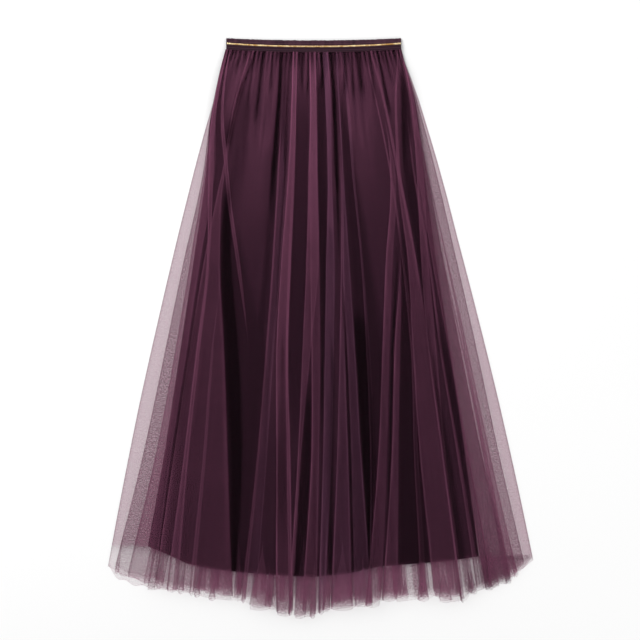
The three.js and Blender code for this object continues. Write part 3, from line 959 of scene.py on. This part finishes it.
outer_folds = [
    fold("left_corner", (0, 10, 65, 125, 138, 146, 148), (20, 30, 85, 132, 147, 156, 167), lit=(1.0, 0.6)),
    fold("left_hair", (22, 35, 100, 170, 182, 196, 200), (26, 38, 105, 176, 188, 202, 207),
         lit=(0.4, 0.3), starts=(0.4, 0.6)),
    fold("left_sweep", (28, 52, 128, 225, 287, 295, 305), (33, 62, 140, 235, 295, 302, 311),
         lit=(0.8, 0.8), fades=(0.38, 0.52)),
    fold("front_hair", (338, 338, 344, 345, 341, 336, 325), (341, 341, 348, 349, 345, 340, 330),
         lit=(0.4, 0.3), starts=(0.1, 0.2)),
    fold("middle_left", (380, 385, 387, 376, 373, 386, 397), (405, 405, 412, 408, 406, 421, 431),
         lit=(1.2, 0.8)),
    fold("middle", (470, 475, 470, 462, 451, 443, 433), (505, 500, 503, 503, 474, 450, 438),
         lit=(1.0, 0.4)),
    fold("middle_right", (545, 548, 548, 530, 518, 509, 500), (575, 572, 563, 557, 543, 530, 513),
         tint=0.8),
    fold("right_of_middle", (615, 610, 607, 587, 585, 583, 580), (625, 615, 610, 608, 607, 607, 613),
         tint=0.7, dense=0.8, lit=(0.4, 0.8)),
    fold("right_sweep", (800, 812, 803, 735, 690, 655, 617), (803, 816, 822, 757, 710, 676, 645),
         lit=(1.2, 0.1), starts=(0.12, 0.22)),
    fold("right_second", (805, 819, 824, 778, 726, 690, 653), (808, 823, 827, 790, 742, 706, 680),
         lit=(1.0, 0.2), starts=(0.34, 0.5)),
    fold("right_upright", (810, 826, 829, 833, 818, 812, 812), (825, 836, 839, 841, 822, 816, 816),
         dense=1.0, lit=(0.3, 0.4), fades=(0.3, 0.4)),
    fold("right_corner", (994, 967, 915, 858, 828, 821, 820), (997, 980, 940, 883, 852, 830, 826),
         lit=(1.0, 0.3)),
]
OUTER_FLUTES = [
    (0.015, 0.031, 0.84, 1.6, 0.2), (0.119, 0.139, 0.86, 2.0, 0.3), (0.172, 0.19, 0.9, 2.2, 0.3),
    (0.21, 0.226, 0.9, 2.0, 0.3), (0.242, 0.262, 0.92, 2.0, 0.2), (0.339, 0.385, 0.86, 2.2, 0.2),
    (0.443, 0.465, 0.84, 2.2, 0.3), (0.478, 0.487, 0.88, 2.0, 0.2), (0.525, 0.572, 0.86, 2.4, 0.4),
    (0.72, 0.746, 0.88, 2.2, 0.2), (0.767, 0.8, 0.9, 2.2, 0.2),
    (0.84, 0.861, 0.9, 2.2, 0.3), (0.885, 0.915, 0.84, 2.2, 0.2), (0.948, 0.962, 0.84, 1.6, 0.2),
]


def outer_left(d):
    return np.zeros_like(np.asarray(d, float))


def outer_right(d):
    return np.ones_like(np.asarray(d, float))


outer_style = {
    "left": outer_left, "right": outer_right, "hem": hem_line(FRONT_HEM), "short": 6.5 * MM,
    "base": front_base(1.5 * MM, 3.6 * MM, 9.4 * MM, 12.2 * MM), "radius": 0.35 * MM, "opens_at": 0.6,
    "open_share": 1.0, "step": 3.3 * MM, "gap_bulge": 3 * MM, "relief": 1 * MM, "edge_cover": 1.0,
    "look": look(0.28, 0.11, 0.085, 0.25, 0.255, 0.28, 0.16, 1.45), "seed": 1.0,
    "at_seam": 5.4 * MM, "arc": 3 * MM, "tuck": 3.5 * MM,
}
print("outer folds:", ", ".join(item.name for item in outer_folds))
outer_front = build_sheet(
    "outer_net_front", with_flutes(outer_folds, OUTER_FLUTES, outer_style), outer_style, outer_tulle)

# %% [markdown]
# ## The inner net, front
#
# The second layer is cut a little narrower, so its own side folds show as lines inside the pale
# outer strip. Its folds are broader, and lie half hidden under the first layer.

# %% Inner front folds
inner_folds = [
    fold("left_side", (10, 20, 50, 67, 74, 71, 53), (20, 30, 90, 100, 108, 110, 115), lit=(0.6, 0.4)),
    fold("left_panel", (140, 113, 120, 115, 117, 119, 119), (160, 130, 128, 167, 219, 257, 288),
         tint=0.1, dense=1.45, lit=(1.0, 0.5)),
    fold("front_left", (314, 334, 343, 348, 346, 342, 330), (334, 352, 375, 372, 364, 360, 354),
         tint=0.6, dense=1.15, lit=(0.2, 0.3), starts=(0.1, 0.3)),
    fold("front_ridge", (390, 395, 403, 400, 401, 413, 425), (400, 405, 411, 407, 407, 420, 431),
         tint=0.1, lit=(0.9, 0.6)),
    fold("front_middle", (480, 480, 478, 476, 478, 478, 465), (505, 503, 505, 505, 503, 497, 491),
         lit=(1.1, 0.5)),
    fold("front_right", (590, 597, 600, 581, 562, 546, 530), (600, 603, 606, 590, 577, 573, 571),
         tint=0.6, starts=(0.15, 0.3)),
    fold("lone_strip", (655, 650, 647, 650, 642, 633, 617), (660, 660, 655, 656, 652, 643, 622),
         tint=0.6, lit=(0.8, 0.2)),
    fold("right_hair", (780, 790, 800, 790, 775, 748, 734), (785, 795, 806, 797, 785, 758, 745),
         lit=(0.6, 0.2)),
    fold("right_panel", (975, 892, 832, 810, 781, 763, 761), (980, 900, 845, 840, 830, 822, 821),
         tint=0.1, dense=1.55, lit=(0.7, 0.4)),
    fold("right_thread", (982, 940, 900, 884, 865, 862, 860), (983, 943, 906, 890, 871, 868, 868),
         lit=(0.6, 0.2), starts=(0.1, 0.2)),
    fold("right_side", (984, 960, 920, 898, 893, 890, 895), (987, 972, 955, 935, 928, 927, 940),
         lit=(0.7, 0.5)),
]
INNER_FLUTES = [
    (0.145, 0.165, 0.9, 1.0, 0.3), (0.302, 0.319, 0.84, 1.2, 0.3), (0.372, 0.39, 0.9, 1.2, 0.2),
    (0.505, 0.521, 0.86, 1.2, 0.3), (0.585, 0.608, 0.88, 1.2, 0.3), (0.64, 0.652, 0.88, 1.2, 0.2),
    (0.68, 0.705, 0.92, 1.2, 0.2), (0.836, 0.852, 0.9, 1.2, 0.2), (0.878, 0.9, 0.84, 1.2, 0.2),
]
inner_style = dict(
    outer_style, left=inner_left, right=inner_right, hem=hem_line(FRONT_HEM, 7, 3, 9), short=5 * MM,
    base=front_base(1.4 * MM, 1.9 * MM, 7.3 * MM, 7.8 * MM), gap_bulge=1 * MM, open_share=0.5,
    relief=0.6 * MM, step=2.6 * MM, look=look(0.24, 0.09, 0.075, 0.28, 0.3, 0.32, 0.16, 1.45),
    seed=2.0, at_seam=4.6 * MM, arc=2 * MM, tuck=2 * MM,
)
print("inner folds:", ", ".join(item.name for item in inner_folds))
inner_front = build_sheet(
    "inner_net_front", with_flutes(inner_folds, INNER_FLUTES, inner_style), inner_style, inner_tulle)

# %% [markdown]
# ## The back layers
#
# They show only past the lining: along the sides and below its hem. Their folds are spread by a
# loop with a fixed seed, so they come out the same in every run.

# %% Back nets
random_back = np.random.default_rng(11)


def back_folds(places, style, start):
    folds = []
    left, right = style["left"], style["right"]

    def presence(d):
        return smooth(0.15 + (d - start) / (1 - start))

    for centre in places:
        half_width = random_back.uniform(0.004, 0.012)
        opening, tint = random_back.uniform(0.4, 0.8), random_back.uniform(0, 1)

        def edge(d, sign, centre=centre, half_width=half_width):
            return mix(left(d), right(d), centre) + sign * half_width * presence(d)

        folds.append(two_edged("back", edge, opening, tint, presence, 1.1, (0.3, 0.3)))
    return folds


def scatter(low, high, count):
    places = np.linspace(low, high, count)
    return places + random_back.uniform(-0.3, 0.3, count) * (high - low) / (count - 1)


back_style = dict(
    outer_style, hem=hem_line(BACK_HEM, 0, 2, 23), short=5 * MM, base=flat_base(0.4 * MM), radius=0.12 * MM,
    gap_bulge=0.0, relief=0.1 * MM, opens_at=0.8, step=4 * MM,
    look=look(0.3, 0.2, 0.2, 0.25, 0.255, 0.28, 0.17, 1.45), seed=3.0,
    at_seam=0.4 * MM, arc=1 * MM, tuck=1 * MM,
)
outer_back = build_sheet(
    "outer_net_back", back_folds(scatter(0.12, 0.93, 17), back_style, 0.3), back_style, outer_tulle)
inner_back_style = dict(
    back_style, left=inner_left, right=inner_right, hem=hem_line(BACK_HEM, 8, 2, 17),
    base=flat_base(1.5 * MM), at_seam=1.5 * MM)
inner_back = build_sheet(
    "inner_net_back", back_folds(scatter(0.07, 0.95, 15), inner_back_style, 0.2), inner_back_style,
    inner_tulle)

# %% [markdown]
# ## The lining
#
# The lining is an opaque, softly shining satin, cut narrower than the net. Its edges and its hem
# show as crisp lines through the tulle. It is a plain grid whose height follows the gathers at the
# waist and a few broad, shallow folds. Its colour is darkened with painted shade in the troughs and in
# the grooves between the gathers.

# %% Lining
SATIN = (0.0085, 0.0032, 0.006)
SATIN_IN_SHADE = (0.0024, 0.0009, 0.0015)
lining_satin = plain_material("lining_satin", SATIN, 0.5, 0.015)
# The darker satin is painted shade, reached where `lit` is low.
colour_by(lining_satin, attribute_node(lining_satin.node_tree, "lit"), SATIN_IN_SHADE, SATIN)


def build_lining(name, height, wave_height, inset):
    columns, rows = 300, 130
    across = np.linspace(0, 1, columns)
    lifts = np.interp(across, [p[0] for p in LINING_HEM], [p[1] for p in LINING_HEM]) * MM
    shares = row_shares(rows)
    points = np.zeros((rows, columns, 3))
    lit = np.ones((rows, columns))
    for c, share in enumerate(across):
        down = shares * down_at(lifts[c])
        u = mix(lining_left(down) + inset, lining_right(down) - inset, share)
        wrinkle = crease_value(u, down)
        trough = np.clip(mark_value(TROUGHS, u, down) - wrinkle, 0, 1)
        pinch, groove_shade_reach = gathers(u, down)
        swell = 2 + np.sin(share * 21 + 1.2 * np.sin(down * 3))
        swell = (swell + 0.6 * np.sin(share * 47 + 2 + down * 2)) / 3.6
        swell = swell * np.sin(math.pi * share) ** 0.5 * smooth(down * 3) * (1 - 0.8 * trough)
        z = height + (wave_height * swell + 0.7 * MM * pinch) * smooth(down / 0.02 + 0.2)
        points[:, c] = np.stack([place_x(u, down), place_y(u, down), z], axis=1)
        # The lining's painted shade: darker in the troughs and in the grooves between the gathers below the
        # seam.
        lit[:, c] = (1 - 0.9 * trough) * (1 - 0.95 * groove_shade_reach * (1 - pinch))
    return grid_object(name, points, {"lit": lit}, lining_satin)


lining_front = build_lining("satin_lining_front", 3.8 * MM, 2.5 * MM, 0.0)
lining_back = build_lining("satin_lining_back", 3.1 * MM, 0.3 * MM, 0.002)

# %% [markdown]
# ## The waistband
#
# The elastic is a ring pressed flat, so its front half lies on its back half. One loop of points
# goes round the ring, and at each of them a section of the wall is drawn: its outer face with ribs
# and gathers, its top edge and its inner face. The seam below is a little thicker than the top.

# %% The ring of elastic
TOP_SAG, SEAM_BOW = 3.5 * MM, 4.5 * MM
WALL = 1.8 * MM
FACE_INSET = 0.3 * MM  # how far the wall's faces lie inside it, to leave room for the ribs
TOP_RADIUS = 1.2 * MM
RING_STEPS = 420
TURN_STEPS = 12  # round each end of the flat ring
OUTER_ROWS = 34
random_band = np.random.default_rng(3)


def band_edges(x):
    q = (2 * x - band_low[0] - band_high[0]) / (band_high[0] - band_low[0])
    top = band_high[1] - TOP_SAG * (1 - q ** 2)
    bottom = band_low[1] + SEAM_BOW * q ** 2
    return bottom, top


def noise_line(count, scale, rng):
    """A soft random line, closed on itself, with bumps about `scale` points wide."""
    values = rng.normal(size=count)
    window = np.exp(-(np.arange(-3 * scale, 3 * scale + 1) / scale) ** 2)
    padded = np.concatenate([values[-3 * scale:], values, values[:3 * scale]])
    line = np.convolve(padded, window, "valid")
    return line / np.abs(line).max()


def ring_place(k, v):
    """Middle of the wall at step k round the ring and share v up it, and the way out from it."""
    radius = mix(band_high[2] / 2 - WALL / 2, TOP_RADIUS, v)
    left, right = band_low[0] + WALL / 2 + radius, band_high[0] - WALL / 2 - radius
    straight = (RING_STEPS - 2 * TURN_STEPS) // 2
    if k < straight:
        return mix(left, right, k / straight), 2 * radius + WALL / 2, 0.0, 1.0
    if k < straight + TURN_STEPS:
        angle = math.pi * (k - straight) / TURN_STEPS
        out_x, out_z = math.sin(angle), math.cos(angle)
        return right + radius * out_x, radius * (1 + out_z) + WALL / 2, out_x, out_z
    if k < 2 * straight + TURN_STEPS:
        return mix(right, left, (k - straight - TURN_STEPS) / straight), WALL / 2, 0.0, -1.0
    angle = math.pi * (k - 2 * straight - TURN_STEPS) / TURN_STEPS
    out_x, out_z = -math.sin(angle), -math.cos(angle)
    return left + radius * out_x, radius * (1 + out_z) + WALL / 2, out_x, out_z


crimps = noise_line(RING_STEPS, 1, random_band) + 0.6 * noise_line(RING_STEPS, 4, random_band)
fuzz = noise_line(RING_STEPS, 1, random_band)
GOLD_HEIGHT = 0.5  # how far up the band the gold cord lies, in the middle
RIBS = 5.5
section = [(v, 1) for v in np.linspace(0, 1, OUTER_ROWS)] + [(1.02, 0.5), (1.02, -0.5)]
section += [(v, -1) for v in (1, 0.7, 0.4, 0.1, 0)] + [(-0.02, -0.5), (-0.02, 0.5), (0, 1)]
band_points = np.zeros((RING_STEPS + 1, len(section), 3))
band_colour_and_shade = np.zeros((RING_STEPS + 1, len(section)))
for k in range(RING_STEPS + 1):
    step = k % RING_STEPS
    for row, (v, side) in enumerate(section):
        x, z, out_x, out_z = ring_place(step, v)
        bottom, top = band_edges(x)
        upper = smooth((v - GOLD_HEIGHT) / 0.1)
        ribs = math.cos(2 * math.pi * v * RIBS)
        crimp = 0.22 * MM * crimps[step] * mix(0.25, 1, upper)
        offset = side * (WALL / 2 - FACE_INSET) + (0.12 * MM * ribs + crimp if side > 0.9 else 0)
        y = mix(bottom, top, v) + 0.9 * MM * fuzz[step] * smooth((v - 0.85) / 0.15)
        band_points[k, row] = (x + out_x * offset, y, max(z + out_z * offset, 0.05 * MM))
        # Colour: lighter above the gold cord, with painted shade and highlight across the ribs and the
        # crimps.
        above = upper * (0.7 + 0.6 * crimps[step] + 0.35 * ribs)
        below = (0.28 + 0.4 * ribs) * (1 - upper)
        band_colour_and_shade[k, row] = np.clip(above + below, 0, 1)

BAND_DARK = (0.016, 0.006, 0.0112)
BAND_LIGHT = (0.058, 0.0228, 0.0355)
elastic = plain_material("ribbed_elastic", BAND_DARK, 0.75, 0.1)
# The elastic's `tint` carries both its colour and that painted shade and highlight.
colour_by(elastic, attribute_node(elastic.node_tree, "tint"), BAND_DARK, BAND_LIGHT)
waistband = grid_object("waistband_elastic", band_points, {"tint": band_colour_and_shade}, elastic)


# %% [markdown]
# A thread is a tube round a line of points. The gold cord is two such threads twisted together, the
# stitches along the seam are short ones, and a row of tiny loops makes the picot edge at the top.

# %% Threads
def tube(path, radius, sides):
    """Points and faces of a tube that follows a path."""
    path = np.array(path, float)
    ahead = np.gradient(path, axis=0)
    ahead /= np.linalg.norm(ahead, axis=1)[:, None]
    side = np.cross(ahead, (0.0, 0.13, 1.0))
    side /= np.linalg.norm(side, axis=1)[:, None]
    up = np.cross(side, ahead)
    angles = np.arange(sides) * 2 * math.pi / sides
    cosines, sines = np.cos(angles)[None, :, None], np.sin(angles)[None, :, None]
    rings = path[:, None] + radius * (cosines * side[:, None] + sines * up[:, None])
    faces = []
    for k in range(len(path) - 1):
        for s in range(sides):
            t = (s + 1) % sides
            faces.append((k * sides + s, k * sides + t, (k + 1) * sides + t, (k + 1) * sides + s))
    faces.append(tuple(range(sides))[::-1])
    faces.append(tuple((len(path) - 1) * sides + s for s in range(sides)))
    return rings.reshape(-1, 3), faces


def thread_object(name, paths, radius, material, sides=7):
    points, faces = [], []
    for path in paths:
        start = len(points)
        ring_points, ring_faces = tube(path, radius, sides)
        points += [tuple(p) for p in ring_points]
        faces += [tuple(i + start for i in f) for f in ring_faces]
    mesh = bpy.data.meshes.new(name)
    mesh.from_pydata(points, [], faces)
    mesh.polygons.foreach_set("use_smooth", np.ones(len(faces), bool))
    mesh.materials.append(material)
    print(f"{name}: {len(paths)} threads, {len(faces)} faces")
    return add_object(name, mesh)


cord_low, cord_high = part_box("gold_piping")
CORD_DROP, CORD_SAG = 2.2 * MM, 4.9 * MM


def band_front(x, v):
    """Height of the band's front face over the floor."""
    radius = mix(band_high[2] / 2 - WALL / 2, TOP_RADIUS, v)
    return 2 * radius + WALL - FACE_INSET


def gold_line(x):
    q = (2 * x - cord_low[0] - cord_high[0]) / (cord_high[0] - cord_low[0])
    y = cord_high[1] - CORD_DROP - CORD_SAG * (1 - abs(q) ** 2.3)
    bottom, top = band_edges(x)
    return y, band_front(x, (y - bottom) / (top - bottom))


STRAND = 0.78 * MM
TWIST = 5.2 * MM
TWIST_WIDTH, TWIST_HEIGHT = 0.6 * MM, 0.5 * MM
gold_strands = []
for phase in (0, math.pi):
    path = []
    for x in np.arange(cord_low[0] + 0.4 * MM, cord_high[0] - 0.2 * MM, 0.35 * MM):
        y, z = gold_line(x)
        angle = 2 * math.pi * x / TWIST + phase
        y = y + TWIST_WIDTH * math.cos(angle)
        path.append((x, y, z + 0.6 * MM + TWIST_HEIGHT * math.sin(angle)))
    gold_strands.append(path)
GOLD_DEEP, GOLD_BRIGHT = (0.5, 0.27, 0.08), (1.0, 0.8, 0.46)
gold_thread = plain_material("gold_thread", (0.86, 0.6, 0.27), 0.32, 0.5)
gold_tree = gold_thread.node_tree
gold_tree.nodes["Principled BSDF"].inputs["Metallic"].default_value = 0.75
# Painted glints: noise spots in the cord's colour between a deep and a bright gold, standing for highlights.
glints = add_node(gold_tree, "ShaderNodeTexNoise")
glints.inputs["Scale"].default_value = 160
gold_tree.links.new(add_node(gold_tree, "ShaderNodeTexCoord").outputs["Object"], glints.inputs["Vector"])
glint = math_node(gold_tree, "SUBTRACT", glints.outputs["Fac"], 0.38)
glint = math_node(gold_tree, "MULTIPLY", glint, 4, clamp=True)
colour_by(gold_thread, glint, GOLD_DEEP, GOLD_BRIGHT)
gold_cord = thread_object("gold_cord", gold_strands, STRAND, gold_thread)

# %% Stitches and picot edge
STITCH_STEP, STITCH = 2.3 * MM, 1.6 * MM
STITCH_ROW = 0.12  # how far up the band the stitches lie
LOOP_STEP = 1.9 * MM
stitches, loops = [], []
for x in np.arange(band_low[0] + 3 * MM, band_high[0] - 3 * MM, STITCH_STEP):
    bottom, top = band_edges(x)
    z = band_front(x, STITCH_ROW) + 0.02 * MM
    y = mix(bottom, top, STITCH_ROW) + 0.1 * MM * math.sin(x * 900)
    stitches.append([(x + t * STITCH, y, z + 0.14 * MM * math.sin(math.pi * t))
                     for t in np.linspace(0, 1, 5)])
for x in np.arange(band_low[0] + 1.5 * MM, band_high[0] - 1.5 * MM, LOOP_STEP):
    for z in (WALL / 2, 3.2 * MM):
        bottom, top = band_edges(x)
        wide, tall = random_band.uniform(0.5, 0.8) * MM, random_band.uniform(0.4, 1.3) * MM
        loops.append([(x - wide * math.cos(a), top - 0.2 * MM + tall * math.sin(a),
                       z + 0.15 * MM * math.sin(2 * a)) for a in np.linspace(0, math.pi, 7)])
seam_thread = plain_material("seam_thread", (0.05, 0.02, 0.034), 0.6, 0.2)
picot_thread = plain_material("picot_thread", (0.1, 0.045, 0.07), 0.8, 0.1)
seam_stitches = thread_object("seam_stitches", stitches, 0.22 * MM, seam_thread, 5)
picot_edge = thread_object("picot_edge", loops, 0.16 * MM, picot_thread, 5)

for piece, slot_name in ((waistband, "ribbed_elastic"), (gold_cord, "gold_cord"),
                         (seam_stitches, "ribbed_elastic"), (picot_edge, "ribbed_elastic")):
    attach(piece, "root")
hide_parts("waistband")
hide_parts("gold_piping")

# %% [markdown]
# ## Every sheet takes its solid's place
#
# Each piece rides on the skirt's one body and replaces its solid, which is hidden.

def declare(piece, node):
    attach(piece, "root")
    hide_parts(node)


declare(outer_back, "tulle_outer_back")
declare(inner_back, "tulle_inner_back")
declare(lining_back, "lining_back")
declare(lining_front, "lining_front")
declare(inner_front, "tulle_inner_front")
declare(outer_front, "tulle_outer_front")
